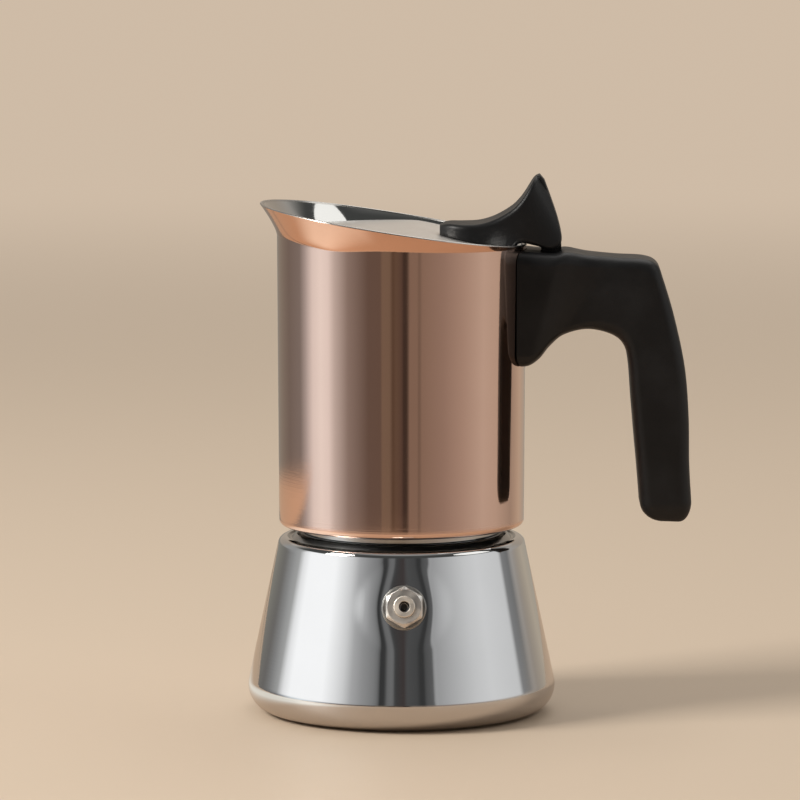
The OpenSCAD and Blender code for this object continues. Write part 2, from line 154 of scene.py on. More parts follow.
# What the leaning wall of the boiler shows of it, in two ramps that meet at BAND_SPLIT
BAND_SPLIT = 106
HIGH_BAND = around([
    (-180, (0.44, 0.37, 0.30)), (-150, (0.38, 0.33, 0.28)), (-135, (0.36, 0.355, 0.345)),
    (-118, (0.36, 0.36, 0.355)), (-107, (0.46, 0.46, 0.45)), (-100, 1.0), (-92, 1.25), (-62, 1.25),
    (-52, 1.0), (-45, 0.80), (-38, 0.50), (-30, 0.36), (-21, 0.26), (-17.5, 0.19), (-15.5, 0.045),
    (-12, 0.05), (-10, 0.17), (-6, 0.20), (-4, 0.06), (3, (0.06, 0.048, 0.046)), (5, 0.09),
    (13, 0.075), (15.5, 0.045), (18.5, 0.045), (20, 0.10), (26, 0.13), (27, 0.46), (29, 0.40),
    (60, 0.72), (74, 0.80), (102, 0.72), (BAND_SPLIT, 0.26),
])
HIGH_BAND_BACK = around([
    (-180, 0.0), (BAND_SPLIT, 0.26), (115, 0.20), (122, (0.42, 0.40, 0.38)),
    (150, (0.40, 0.34, 0.28)), (180, (0.44, 0.37, 0.30)),
])
# What faces that look up show: warm light from behind the pot, a dark ceiling towards the
# camera, and the lamp's grey glow right above
OVERHEAD_BACK = (0.50, 0.47, 0.43)
OVERHEAD_FRONT = (0.065, 0.066, 0.063)
ZENITH = (0.34, 0.33, 0.32)

world = bpy.data.worlds.new("room")
bpy.context.scene.world = world
world.use_nodes = True
t = Nodes(world.node_tree)
direction = t.add("ShaderNodeSeparateXYZ", {0: t.add("ShaderNodeTexCoord").outputs["Generated"]})
toward = t.math("MULTIPLY", direction.outputs["Y"], -1.0)
turn = t.math("ARCTAN2", direction.outputs["X"], toward)
# Place round the pot as a share of a full turn, which is 0.5 at the camera
turn_share = {0: turn, 1: 1 / (2 * np.pi), 2: 0.5}
place = t.add("ShaderNodeMath", turn_share, operation="MULTIPLY_ADD").outputs[0]
rise = direction.outputs["Z"]
low = t.ramp(place, LOW_BAND)
behind = t.math("GREATER_THAN", place, BAND_SPLIT / 360 + 0.5)
high = t.mix(behind, t.ramp(place, HIGH_BAND), t.ramp(place, HIGH_BAND_BACK))
overhead = t.mix(t.fade(toward, -0.78, -0.38), OVERHEAD_BACK, OVERHEAD_FRONT)
zenith = t.mix(t.fade(rise, 0.8, 0.97), overhead, ZENITH)
shown = t.mix(t.fade(rise, 0.01, 0.09), low, high)
shown = t.mix(t.fade(rise, 0.38, 0.48), shown, zenith)
ray = t.add("ShaderNodeLightPath")
light = t.mix(ray.outputs["Is Glossy Ray"], AMBIENT, shown)
light = t.mix(ray.outputs["Is Camera Ray"], light, FLOOR_COLOR)
shine = t.add("ShaderNodeBackground", {"Color": light, "Strength": 1.0})
t.add("ShaderNodeOutputWorld", {"Surface": shine.outputs[0]})


def material(name):
    """New material with an empty node tree, and its builder."""
    made = bpy.data.materials.new(name)
    made.use_nodes = True
    return made, Nodes(made.node_tree)


FLOOR_HALF = 9.0
floor_mat, t = material("floor_paint")
spot = t.add("ShaderNodeTexCoord").outputs["Object"]
reach = t.add("ShaderNodeVectorMath", {0: spot}, operation="LENGTH").outputs["Value"]
ray = t.add("ShaderNodeLightPath")
floor_spot = t.add("ShaderNodeSeparateXYZ", {0: spot})
east, north = floor_spot.outputs["X"], floor_spot.outputs["Y"]
# Metal shows a gleam of the window on the floor, on the spout's side of the pot
spoutward = t.math("MULTIPLY", east, -1.0)
gleam = t.math("MULTIPLY", t.fade(t.math("ABSOLUTE", north), 0.15, 0.02),
               t.math("MULTIPLY", t.fade(spoutward, 0.045, 0.075), t.fade(spoutward, 0.32, 0.20)))
in_metal = t.mix(gleam, FLOOR_IN_METAL, FLOOR_GLEAM)
grain = t.add("ShaderNodeTexNoise", {"Vector": spot, "Scale": 900.0, "Detail": 3.0})
paint = t.add(
    "ShaderNodeBsdfPrincipled",
    {
        "Base Color": t.mix(ray.outputs["Is Glossy Ray"], FLOOR_COLOR, in_metal),
        "Roughness": 0.55,
        "Specular IOR Level": 0.25,
        "Normal": t.add("ShaderNodeBump", {"Strength": 0.08, "Distance": 0.0004,
                                           "Height": grain.outputs["Fac"]}).outputs[0],
    },
)
# Far out it has the background's own colour
plain = t.add("ShaderNodeEmission", {"Color": (*FLOOR_COLOR, 1), "Strength": 1.0})
far = t.fade(reach, 0.7, 2.2)
seen = t.add("ShaderNodeMixShader", {0: far, 1: paint.outputs[0], 2: plain.outputs[0]})
# Metal shows the floor only close by, and a little further at the back on the spout's side
back_left = t.math("MULTIPLY", t.math("SUBTRACT", north, east), 0.7071)
edge = t.math("MULTIPLY", t.fade(reach, 0.37, 0.44), t.fade(back_left, 0.43, 0.38))
edge = t.math("MAXIMUM", edge, t.fade(reach, 0.52, 0.62))
beyond = t.math("MULTIPLY", edge, ray.outputs["Is Glossy Ray"])
clear = t.add("ShaderNodeBsdfTransparent")
laid = t.add("ShaderNodeMixShader", {0: beyond, 1: seen.outputs[0], 2: clear.outputs[0]})
t.add("ShaderNodeOutputMaterial", {"Surface": laid.outputs[0]})

floor_mesh = bpy.data.meshes.new("floor")
floor_corners = [(x * FLOOR_HALF, y * FLOOR_HALF, 0) for x, y in ((-1, -1), (1, -1), (1, 1), (-1, 1))]
floor_mesh.from_pydata(floor_corners, [], [(0, 1, 2, 3)])
floor_mesh.materials.append(floor_mat)
floor = bpy.data.objects.new("floor", floor_mesh)
bpy.context.scene.collection.objects.link(floor)


LAMP_AIM_Z = 0.08


def softbox(name, azimuth, elevation, distance, size, power, color, shape="RECTANGLE"):
    """Area lamp that faces the pot, from azimuth (0 at the camera, + towards the handle)."""
    lamp = bpy.data.lights.new(name, "AREA")
    lamp.shape = shape
    lamp.size, lamp.size_y = size
    lamp.energy = power
    lamp.color = color
    made = bpy.data.objects.new(name, lamp)
    a, e = np.radians(azimuth), np.radians(elevation)
    made.location = (
        distance * np.sin(a) * np.cos(e),
        -distance * np.cos(a) * np.cos(e),
        distance * np.sin(e) + LAMP_AIM_Z,
    )
    made.rotation_euler = (np.pi / 2 - e, 0, a)
    bpy.context.scene.collection.objects.link(made)


softbox("window_light", -67, 35, 1.7, (0.6, 0.6), 26.0, (1.0, 0.97, 0.92))
softbox("top_light", 150, 62, 1.8, (1.2, 1.2), 7.0, (1.0, 0.98, 0.95))
softbox("side_light", 86, 41, 1.8, (1.3, 0.78), 3.0, (1.0, 0.98, 0.94), "ELLIPSE")


# Boiler -------------------------------------------------------------------------------------
# Pressed stainless cone with a rounded foot and a flat shoulder, polished like a mirror. It has
# a flat pressed round the safety valve, so that the valve's collar seats all round.

def arc(x, y, r, start, end, n=12):
    """Points on a circle's arc about (x, y), from start to end degrees."""
    a = np.radians(np.linspace(start, end, n))
    return np.stack([x + r * np.cos(a), y + r * np.sin(a)], 1)


def rounded(corners, steps=5, closed=True):
    """Outline through corners (x, y, r): each corner is cut back along both legs by
    r * tan(half its turn), and an arc of radius r joins the two cuts."""
    c = np.array(corners, float)
    before = np.roll(c, 1, 0)
    after = np.roll(c, -1, 0)
    out = []
    for k, (p, q, s) in enumerate(zip(before, c, after)):
        if not closed and k in (0, len(c) - 1) or q[2] <= 0:
            out.append(q[None, :2])
            continue
        u = (p[:2] - q[:2]) / np.linalg.norm(p[:2] - q[:2])
        v = (s[:2] - q[:2]) / np.linalg.norm(s[:2] - q[:2])
        half = 0.5 * np.arccos(np.clip(u @ v, -1, 1))
        cut = q[2] / np.tan(half)
        middle = q[:2] + (u + v) / np.linalg.norm(u + v) * q[2] / np.sin(half)
        a, b = q[:2] + u * cut - middle, q[:2] + v * cut - middle
        w = np.linspace(0, 1, steps + 1)[:, None]
        turn = np.arccos(np.clip(a @ b / q[2] ** 2, -1, 1))
        bow = (np.sin((1 - w) * turn) * a + np.sin(w * turn) * b) / max(np.sin(turn), 1e-9)
        out.append(middle + bow)
    return np.concatenate(out)


def grid_normals(P, wrap=(True, True)):
    """Unit normals of a grid of points: the cross product of the steps along its two sides,
    each step taken from the point before to the point after."""
    steps = []
    for axis in (0, 1):
        step = np.roll(P, -1, axis) - np.roll(P, 1, axis)
        if not wrap[axis]:
            ends = np.moveaxis(step, axis, 0)
            line = np.moveaxis(P, axis, 0)
            ends[0], ends[-1] = line[1] - line[0], line[-1] - line[-2]
        steps.append(step)
    N = np.cross(steps[0], steps[1])
    return N / np.maximum(np.linalg.norm(N, axis=2, keepdims=True), 1e-12)


def surface(name, P, materials, body, nodes=(), wrap=(True, True), caps=False,
            finish_of=None, normals=True):
    """Makes a piece from a grid of points P[i, j], with quads that face along i cross j.
    wrap closes the grid along i and j, caps fills its first and last rows along j, finish_of
    gives each quad's material, and normals keeps the grid's own normals for shading."""
    ni, nj = P.shape[:2]
    I, J = np.meshgrid(np.arange(ni if wrap[0] else ni - 1), np.arange(nj if wrap[1] else nj - 1),
                       indexing="ij")
    K, L = (I + 1) % ni, (J + 1) % nj
    quads = np.stack([I * nj + J, K * nj + J, K * nj + L, I * nj + L], 2)
    kinds = np.zeros(I.shape, int) if finish_of is None else finish_of(J)
    faces = quads.reshape(-1, 4).tolist()
    kinds = kinds.ravel().tolist()
    if caps:
        ring = np.arange(ni) * nj
        faces += [ring[::-1].tolist(), (ring + nj - 1).tolist()]
        kinds += [kinds[0], kinds[-1]]
    mesh = bpy.data.meshes.new(name)
    mesh.from_pydata(P.reshape(-1, 3).tolist(), [], faces)
    for m in materials:
        mesh.materials.append(m)
    mesh.polygons.foreach_set("material_index", kinds)
    mesh.polygons.foreach_set("use_smooth", [True] * len(faces))
    mesh.update()
    if normals:
        mesh.normals_split_custom_set_from_vertices(grid_normals(P, wrap).reshape(-1, 3).tolist())
    made = bpy.data.objects.new(name, mesh)
    bpy.context.scene.collection.objects.link(made)
    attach(made, body)
    if nodes:
        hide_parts(*nodes)
    return made


def spun(profile, n=192):
    """Grid of a profile (radius, height) carried once round the Z axis, in metres."""
    a = np.linspace(0, 2 * np.pi, n, endpoint=False)[:, None]
    r, z = profile[None, :, 0] * MM, profile[None, :, 1] * MM
    return np.stack([r * np.cos(a), r * np.sin(a), z + 0 * a], 2)


def wiped(t, scale, low, high):
    """Roughness between low and high, in soft patches such as a cloth leaves."""
    spot = t.add("ShaderNodeTexCoord").outputs["Object"]
    cloud = t.add("ShaderNodeTexNoise", {"Vector": spot, "Scale": scale, "Detail": 4.0,
                                         "Roughness": 0.55})
    return t.fade(cloud.outputs["Fac"], 0.3, 0.72, low, high)


def lathe_lines(t, fineness, strength):
    """Bump of fine lines that run round the Z axis, from noise stretched along them."""
    spot = t.add("ShaderNodeTexCoord").outputs["Object"]
    parts = t.add("ShaderNodeSeparateXYZ", {0: spot})
    across = t.math("POWER", t.math("ADD", t.math("POWER", parts.outputs["X"], 2.0),
                                    t.math("POWER", parts.outputs["Y"], 2.0)), 0.5)
    bent = t.add("ShaderNodeCombineXYZ", {
        "X": t.math("MULTIPLY", t.math("ARCTAN2", parts.outputs["Y"], parts.outputs["X"]), 1.2),
        "Y": t.math("MULTIPLY", across, fineness),
        "Z": t.math("MULTIPLY", parts.outputs["Z"], fineness),
    })
    lines = t.add("ShaderNodeTexNoise", {"Vector": bent.outputs[0], "Scale": 1.0, "Detail": 2.0})
    return t.add("ShaderNodeBump", {"Strength": strength, "Distance": 0.0001,
                                    "Height": lines.outputs["Fac"]}).outputs[0]


def metal(name, color, roughness, lines=(2600.0, 0.03), patch=(34.0, 0.6), shade=0.06):
    """Bare or plated metal: wiped patches in its roughness, lathe lines in its bump, and a
    little variation in its colour. patch is the size of the patches and how deep they go."""
    made, t = material(name)
    spot = t.add("ShaderNodeTexCoord").outputs["Object"]
    tone = t.add("ShaderNodeTexNoise", {"Vector": spot, "Scale": 60.0, "Detail": 3.0})
    dim = tuple(c * (1 - shade) for c in color)
    t.add("ShaderNodeOutputMaterial", {"Surface": t.add("ShaderNodeBsdfPrincipled", {
        "Base Color": t.mix(tone.outputs["Fac"], dim, color),
        "Metallic": 1.0,
        "Roughness": wiped(t, patch[0], roughness * (1 - patch[1] / 2),
                           roughness * (1 + patch[1])),
        "Normal": lathe_lines(t, *lines),
    }).outputs[0]})
    return made


polished_steel = metal("polished_steel", (0.74, 0.745, 0.75), 0.045)
# The shoulder under the collector's skirt takes a darker, rougher copy of the polished steel: painted
# shade.
shaded_shoulder_steel = metal("shaded_shoulder_steel", (0.40, 0.40, 0.395), 0.16)

boiler_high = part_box("boiler_shell")[1]
BASE_R = boiler_high.x / MM
LIP_Z = boiler_high.z / MM
FOOT_R, LEAN, SHOULDER_Z, CORNER_R, BOILER_WALL = 8.0, 12.1, 54.6, 2.5, 0.9
FOOT_LIFT, DISC_R, DISC_H, NECK_IN_R = 0.3, 36.3, 1.5, 28.8
FOOT_ROWS, SIDE_ROWS, CORNER_ROWS, BOILER_TURNS = 28, 60, 12, 256
FOOT_C = (BASE_R - FOOT_R, FOOT_LIFT + FOOT_R)
lean = np.radians(LEAN)
SIDE_D = FOOT_C[0] * np.cos(lean) + FOOT_C[1] * np.sin(lean) + FOOT_R
CORNER_C = ((SIDE_D - CORNER_R - (SHOULDER_Z - CORNER_R) * np.sin(lean)) / np.cos(lean),
            SHOULDER_Z - CORNER_R)


def boiler_side(depth):
    """Outline of the boiler's sheet at a depth below its outer face, from the foot plate's edge
    round the foot, up the leaning side and over the shoulder to the neck. The shoulder has a
    shallow groove before it rises to the lip under the neck."""
    foot = arc(*FOOT_C, FOOT_R - depth, -90, LEAN, FOOT_ROWS)
    corner = arc(*CORNER_C, CORNER_R - depth, LEAN, 90, CORNER_ROWS)
    rise = np.linspace(0, 1, SIDE_ROWS + 2)[1:-1, None]
    side = foot[-1] + (corner[0] - foot[-1]) * rise
    top = rounded([(corner[-1][0], SHOULDER_Z - depth, 0), (35.2, SHOULDER_Z - depth, 0.3),
                   (34.5, SHOULDER_Z - 0.5 - depth, 0.2), (33.9, SHOULDER_Z - 0.5 - depth, 0.25),
                   (32.6, LIP_Z - 0.3 - depth, 0.6), (31.8, LIP_Z - depth, 0.4),
                   (NECK_IN_R, LIP_Z - depth, 0)], closed=False)
    return np.concatenate([foot, side, corner, top[1:]])


outer = boiler_side(0)
inner = boiler_side(BOILER_WALL)[::-1]
under = rounded([(inner[-1][0], inner[-1][1], 0), (DISC_R + 1.2, DISC_H + BOILER_WALL, 0.5),
                 (0.4, DISC_H + BOILER_WALL, 0), (0.4, DISC_H, 0), (DISC_R + 0.3, DISC_H, 0.3),
                 (DISC_R + 0.7, FOOT_LIFT, 0.3), (outer[0][0], outer[0][1], 0)], closed=False)
boiler_line = np.concatenate([outer, inner, under[1:-1]])
P = spun(boiler_line, BOILER_TURNS)

# The valve's axis is square to the leaning side: its frame is across, up the side, and out
VALVE_TURN = np.radians(2.0)
VALVE_Z = 38.2 * MM
valve_r = (SIDE_D * MM - VALVE_Z * np.sin(lean)) / np.cos(lean)
out_dir = np.array([np.sin(VALVE_TURN) * np.cos(lean), -np.cos(VALVE_TURN) * np.cos(lean),
                    np.sin(lean)])
across_dir = np.array([np.cos(VALVE_TURN), np.sin(VALVE_TURN), 0])
up_dir = np.cross(out_dir, across_dir)
valve_at = np.array([valve_r * np.sin(VALVE_TURN), -valve_r * np.cos(VALVE_TURN), VALVE_Z])

# Close to the valve the wall is drawn FLAT_SHARE of the way to the plane that the collar sits
# on, by a smooth step of the distance from the axis that ends at FLAT_END
FLAT_R, FLAT_END, FLAT_SHARE, FLAT_DEPTH = 6.0 * MM, 15.0 * MM, 0.45, 4.0 * MM
off = P - valve_at
depth = off @ out_dir
away = np.hypot(off @ across_dir, off @ up_dir)
near = (np.clip((FLAT_END - away) / (FLAT_END - FLAT_R), 0, 1)) ** 2
near = FLAT_SHARE * near * (3 - 2 * np.sqrt(near)) * (depth > -FLAT_DEPTH)
is_inner = (np.arange(len(boiler_line)) >= len(outer))[None, :]
level = np.where(is_inner, -BOILER_WALL * MM, 0)
P = P + (near * (level - depth))[..., None] * out_dir
SHOULDER_START = FOOT_ROWS + SIDE_ROWS + CORNER_ROWS
surface("boiler_body", P, [polished_steel, shaded_shoulder_steel], "boiler",
        ["boiler_shell"],
        finish_of=lambda J: ((J >= SHOULDER_START) & (J < len(outer))).astype(int))


# Foot plate ---------------------------------------------------------------------------------
# Magnetic steel plate brazed under the boiler, on which the pot stands. It is faced on a lathe,
# so its rings can be felt, with a shallow dish in the middle.

plate_steel = metal("plate_steel", (0.56, 0.56, 0.555), 0.32, lines=(5200.0, 0.35),
                    patch=(50.0, 0.3))
plate_line = rounded([(0.3, 0.25, 0), (6, 0.25, 0.2), (6.6, 0, 0.2), (DISC_R, 0, 0.5),
                      (DISC_R, DISC_H - 0.02, 0.1), (0.3, DISC_H - 0.02, 0)], closed=False)
surface("foot_plate", spun(plate_line, 160), [plate_steel], "boiler",
        ["base_disc"], wrap=(True, False), caps=True)


# Neck and thread ----------------------------------------------------------------------------
# Ring welded on the shoulder, with a rolled thread of round section; the ring in the collector
# has the same wave with some play.

PITCH, THREAD_ROOT, THREAD_DEPTH, THREAD_PLAY = 3.6, 30.4, 0.8, 0.4
NECK_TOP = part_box("boiler_neck")[1].z / MM
ring_low, ring_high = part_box("threaded_ring")
RING_OUT_R = ring_high.x / MM

inner_steel = metal("inner_steel", (0.66, 0.665, 0.67), 0.34, lines=(3400.0, 0.12),
                    patch=(40.0, 0.25))
# Dark steel for the collector's thread and the skirt's underside, in the gap over the shoulder: painted
# shade.
painted_shade_steel = metal("painted_shade_steel", (0.34, 0.34, 0.335), 0.36, lines=(3400.0, 0.12),
                     patch=(40.0, 0.4))
# The neck in the gap under the skirt takes a darker copy of the polished steel: painted shade.
shaded_neck_steel = metal("shaded_neck_steel", (0.62, 0.62, 0.61), 0.15, lines=(2600.0, 0.05),
                   patch=(60.0, 0.5))


def ridge(turn, z):
    """Rolled thread: 0 in the groove and 1 on the ridge, a cosine wave that climbs one pitch
    a turn."""
    return 0.5 - 0.5 * np.cos(2 * np.pi * z / PITCH - turn)


def window(z, z0, z1, fade=0.6):
    """1 between z0 and z1, and 0 outside, with a straight fade at both ends."""
    return np.clip(np.minimum((z - z0) / fade, (z1 - z) / fade), 0, 1)


def thread_grid(line, threaded, crest, hollow, z0, z1, n=144):
    """Grid of a spun outline whose threaded points take the radius crest plus the thread's wave."""
    turn = np.linspace(0, 2 * np.pi, n, endpoint=False)[:, None]
    z = line[None, :, 1] + 0 * turn
    wave = ridge(turn, z)
    cut = window(z, z0, z1)
    r = crest + THREAD_DEPTH * (1 - (1 - wave) * cut if hollow else wave * cut)
    r = np.where(threaded[None, :], r, line[None, :, 0])
    return np.stack([r * np.cos(turn), r * np.sin(turn), z], 2) * MM


THREAD_ROWS, THREAD_LEAD = 56, 0.6
ring_z0, ring_z1 = ring_low.z / MM, ring_high.z / MM

rows = np.linspace(LIP_Z, NECK_TOP - 0.3, THREAD_ROWS)
neck_line = np.concatenate([
    np.stack([rows * 0 + THREAD_ROOT, rows], 1),
    rounded([(THREAD_ROOT, NECK_TOP - 0.3, 0), (THREAD_ROOT, NECK_TOP, 0.25),
             (NECK_IN_R, NECK_TOP, 0.25), (NECK_IN_R, LIP_Z, 0)], closed=False)[1:]])
is_thread = np.arange(len(neck_line)) < len(rows)
surface("neck_thread",
        thread_grid(neck_line, is_thread, THREAD_ROOT, False, ring_z0 + 0.3, NECK_TOP - THREAD_LEAD),
        [shaded_neck_steel], "boiler", ["boiler_neck"])

rows = np.linspace(ring_z1, ring_z0, THREAD_ROWS)
ring_line = np.concatenate([
    np.stack([rows * 0 + THREAD_ROOT, rows], 1),
    rounded([(THREAD_ROOT, ring_z0, 0), (RING_OUT_R, ring_z0, 0.3), (RING_OUT_R, ring_z1, 0.1),
             (THREAD_ROOT + THREAD_PLAY + THREAD_DEPTH, ring_z1, 0)], closed=False)[1:-1]])
is_thread = np.arange(len(ring_line)) < len(rows)
# The collector's thread is painted dark as shade.
surface("collector_thread",
        thread_grid(ring_line, is_thread, THREAD_ROOT + THREAD_PLAY, True, ring_z0 + THREAD_LEAD,
                    NECK_TOP - THREAD_LEAD),
        [painted_shade_steel], "collector", ["threaded_ring"])


# Safety valve -------------------------------------------------------------------------------
# Nickel-plated brass: a hexagon with a turned chamfer, a collar against the wall, and a pale
# bush in its face with the bore that the pin moves in.

valve_nickel = metal("valve_nickel", (0.88, 0.86, 0.82), 0.42, lines=(3000.0, 0.06),
                     patch=(220.0, 0.4), shade=0.12)
# The collar takes a darker copy of the valve's nickel, for the shade round it and the dark it mirrors:
# painted shade.
shaded_collar_nickel = metal("shaded_collar_nickel", (0.36, 0.355, 0.34), 0.42, lines=(3000.0, 0.06),
                      patch=(220.0, 0.5), shade=0.12)
# Near black for the poppet down the bore: painted shade, not the metal's own colour.
poppet_painted_shade = metal("poppet_painted_shade", (0.05, 0.048, 0.045), 0.45, lines=(3000.0, 0.05),
                   patch=(300.0, 0.3))
bush_nickel = metal("bush_nickel", (0.95, 0.90, 0.82), 0.52, lines=(3000.0, 0.05),
                    patch=(300.0, 0.3), shade=0.05)


def on_valve(P):
    """Turns a grid made about Z, heights from the wall outwards, on to the valve's axis."""
    return valve_at + P[..., :1] * across_dir + P[..., 1:2] * up_dir + P[..., 2:] * out_dir


HEX_HALF, HEX_CORNER_R, FACE_R, HEAD_BACK, HEAD_FACE = 5.5, 6.4, 5.15, 1.3, 5.8
SHANK_R, SHANK_END, CHAMBER_R, SEAT, INLET_R = 4.0, -7.5, 2.6, -6.2, 1.2
BUSH_R, BUSH_BORE, BUSH_SINK = 3.25, 1.65, 0.6
head_line = rounded([
    (CHAMBER_R, SEAT, 0), (CHAMBER_R, HEAD_FACE - BUSH_SINK, 0.1),
    (BUSH_R + 0.05, HEAD_FACE - BUSH_SINK, 0.05), (BUSH_R + 0.05, HEAD_FACE, 0.1),
    (FACE_R, HEAD_FACE, 0.25), (HEX_CORNER_R, HEAD_FACE - 0.75, 0.1),
    (HEX_CORNER_R, HEAD_BACK, 0.2), (SHANK_R, HEAD_BACK, 0.1), (SHANK_R, SHANK_END, 0.3),
    (INLET_R, SHANK_END, 0.1), (INLET_R, SEAT, 0)])[::-1]


def hexagon(turn, half):
    """Radius of a hexagon with slightly eased corners: the sum of its three widths' shares,
    each raised to a high power."""
    power = 60
    share = sum(np.abs(np.cos(turn - k * np.pi / 3) / half) ** power for k in range(3))
    return share ** (-1 / power)


# The head's radius is the smaller of the turned outline's and the hexagon's, softly blended
BLEND = 40
turn = np.linspace(0, 2 * np.pi, 240, endpoint=False)[:, None]
turned_r, head_z = head_line[None, :, 0], head_line[None, :, 1]
is_head = (turned_r > SHANK_R + 0.1) & (head_z > HEAD_BACK - 0.01)
r = (turned_r ** -float(BLEND) + hexagon(turn, HEX_HALF) ** -float(BLEND)) ** (-1 / BLEND)
r = np.where(is_head, r, turned_r)
P = np.stack([r * np.cos(turn), r * np.sin(turn), head_z + 0 * turn], 2) * MM
surface("valve_hexagon", on_valve(P), [valve_nickel], "boiler", ["valve_body"])

COLLAR_IN_R, COLLAR_R, COLLAR_H = 4.1, 6.8, 1.25
collar_line = rounded([(COLLAR_IN_R, -0.4, 0.05), (COLLAR_R, -0.4, 0.05), (COLLAR_R, 0.75, 0.4),
                       (6.45, COLLAR_H, 0.25), (COLLAR_IN_R, COLLAR_H, 0.1)])
surface("valve_collar", on_valve(spun(collar_line, 144)), [shaded_collar_nickel], "boiler",
        ["valve_washer"])

bush_line = rounded([(BUSH_BORE, 2.7, 0.1), (2.58, 2.7, 0.1), (2.58, HEAD_FACE - 0.58, 0.05),
                     (BUSH_R, HEAD_FACE - 0.58, 0.05), (BUSH_R, HEAD_FACE + 0.6, 0.3),
                     (BUSH_BORE, HEAD_FACE + 0.6, 0.15)])
surface("valve_bush_ring", on_valve(spun(bush_line, 120)), [bush_nickel], "boiler",
        ["valve_bush"])


# Collector ----------------------------------------------------------------------------------
# Steel tube with a copper finish outside, drawn out to a slanted pouring rim; its lip and its
# inside are bare polished steel. The lower edge is rolled in to a soft round.

SKIRT_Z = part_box("collector_shell")[0].z / MM
SKIRT_R, SKIRT_ROUND, BODY_R, BODY_WALL = 37.8, 1.8, 38.3, 0.8
RIM_Z, RIM_SLOPE = 151.2, 0.154

polished_copper = metal("polished_copper", (0.90, 0.64, 0.53), 0.05, lines=(2600.0, 0.03),
                        patch=(26.0, 0.7), shade=0.05)
# The flare leans out and faces down, so it takes a darker, redder copy of the copper: painted shade.
shaded_flare_copper = metal("shaded_flare_copper", (0.84, 0.52, 0.385), 0.07, lines=(2600.0, 0.03),
                     patch=(26.0, 0.7), shade=0.08)
bright_lip = metal("bright_lip", (0.62, 0.60, 0.575), 0.24, lines=(2600.0, 0.02),
                   patch=(60.0, 0.4))
spout_steel = metal("spout_steel", (0.70, 0.705, 0.70), 0.07, lines=(2600.0, 0.03),
                    patch=(40.0, 0.5))


def crease_z(x):
    """Height at which the flare starts, at place x: a parabola, less a bell-shaped sag of
    1.5 mm at 21 mm towards the spout."""
    return RIM_Z - 5.6 - 0.0425 * x + 0.00046 * x * x - 1.5 * np.exp(-((x + 21) / 11) ** 2)


def flare(h):
    """How far a flare of height h leans out: a share of the height that grows with it."""
    return h * (0.3 + 0.0213 * h)


def rim_radius(turn):
    """Radius of the rim: three rounds of the rim's height at a radius, then its flare's reach."""
    r = 40 + 0 * turn
    for _ in range(3):
        r = BODY_R + flare(RIM_Z - RIM_SLOPE * r * np.cos(turn) - crease_z(BODY_R * np.cos(turn)))
    return r


WALL_ROWS, FLARE_ROWS = 90, 40


def shell_grid(n=320):
    """Grid of the collector's wall: outer face from the rolled edge up the wall and the flare,
    round the lip on a half circle, and back down inside. The flare leans out with the power 1.3
    of its height, after a soft start."""
    turn = np.linspace(0, 2 * np.pi, n, endpoint=False)[:, None]
    rr = rim_radius(turn)
    zc = crease_z(BODY_R * np.cos(turn))
    zr = RIM_Z - RIM_SLOPE * rr * np.cos(turn)

    def face(set_in, grow):
        foot = arc(SKIRT_R - SKIRT_ROUND, SKIRT_Z + SKIRT_ROUND, SKIRT_ROUND - set_in, -90, 0, 16)
        u = np.linspace(0, 1, WALL_ROWS)[None, 1:-1]
        wall_r = foot[-1, 0] + (BODY_R - set_in - foot[-1, 0]) * u + 0 * turn
        wall_z = foot[-1, 1] + (zc - foot[-1, 1]) * u
        v = np.linspace(0, 1, FLARE_ROWS)[None, :]
        lean_r = BODY_R - set_in + (rr - BODY_R) * v ** 1.3 * 1.04 * v / (v + 0.04)
        lean_z = zc + (zr - grow - zc) * v
        return (np.concatenate([foot[:, 0] + 0 * turn, wall_r, lean_r], 1),
                np.concatenate([foot[:, 1] + 0 * turn, wall_z, lean_z], 1))

    half = BODY_WALL / 2
    out_r, out_z = face(0, half)
    in_r, in_z = face(BODY_WALL, half)
    w = np.radians(np.linspace(0, 180, 12)[None, 1:-1])
    lip_r = rr - half + half * np.cos(w)
    lip_z = zr - half + half * np.sin(w)
    r = np.concatenate([out_r, lip_r, in_r[:, ::-1]], 1)
    z = np.concatenate([out_z, lip_z, in_z[:, ::-1]], 1)
    return np.stack([r * np.cos(turn), r * np.sin(turn), z], 2) * MM, out_r.shape[1]


# The edge under the skirt is painted dark steel as shade, and the flare is polished inside, down to the
# crease
P, outside = shell_grid()
UNDER_SKIRT, LIP_END, FLARE_END = 4, 11, 50
surface("collector_body", P,
        [painted_shade_steel, polished_copper, shaded_flare_copper, bright_lip, spout_steel, inner_steel],
        "collector", ["collector_shell"],
        finish_of=lambda J: np.digitize(J, [UNDER_SKIRT, outside - FLARE_ROWS + 2, outside - 1,
                                            outside + LIP_END, outside + FLARE_END]))


# Inside of the collector --------------------------------------------------------------------
# Steel floor that domes up to the riser column, and the column with its slotted cap.

FLOOR_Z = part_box("collector_floor")[0].z / MM
FLOOR_WALL, COLUMN_FOOT, COLUMN_TOP = 0.8, 75, 118
floor_line = rounded([
    (4.6, COLUMN_FOOT, 0.2), (4.6, COLUMN_FOOT - FLOOR_WALL, 0.2),
    (7, COLUMN_FOOT - FLOOR_WALL, 0.4), (23.8, FLOOR_Z, 3), (SKIRT_R - 0.9, FLOOR_Z, 0.2),
    (SKIRT_R - 0.9, FLOOR_Z + FLOOR_WALL, 0.2), (24, FLOOR_Z + FLOOR_WALL, 3),
    (7.4, COLUMN_FOOT, 0.4)])
surface("collector_base", spun(floor_line, 160), [inner_steel], "collector",
        ["collector_floor"])

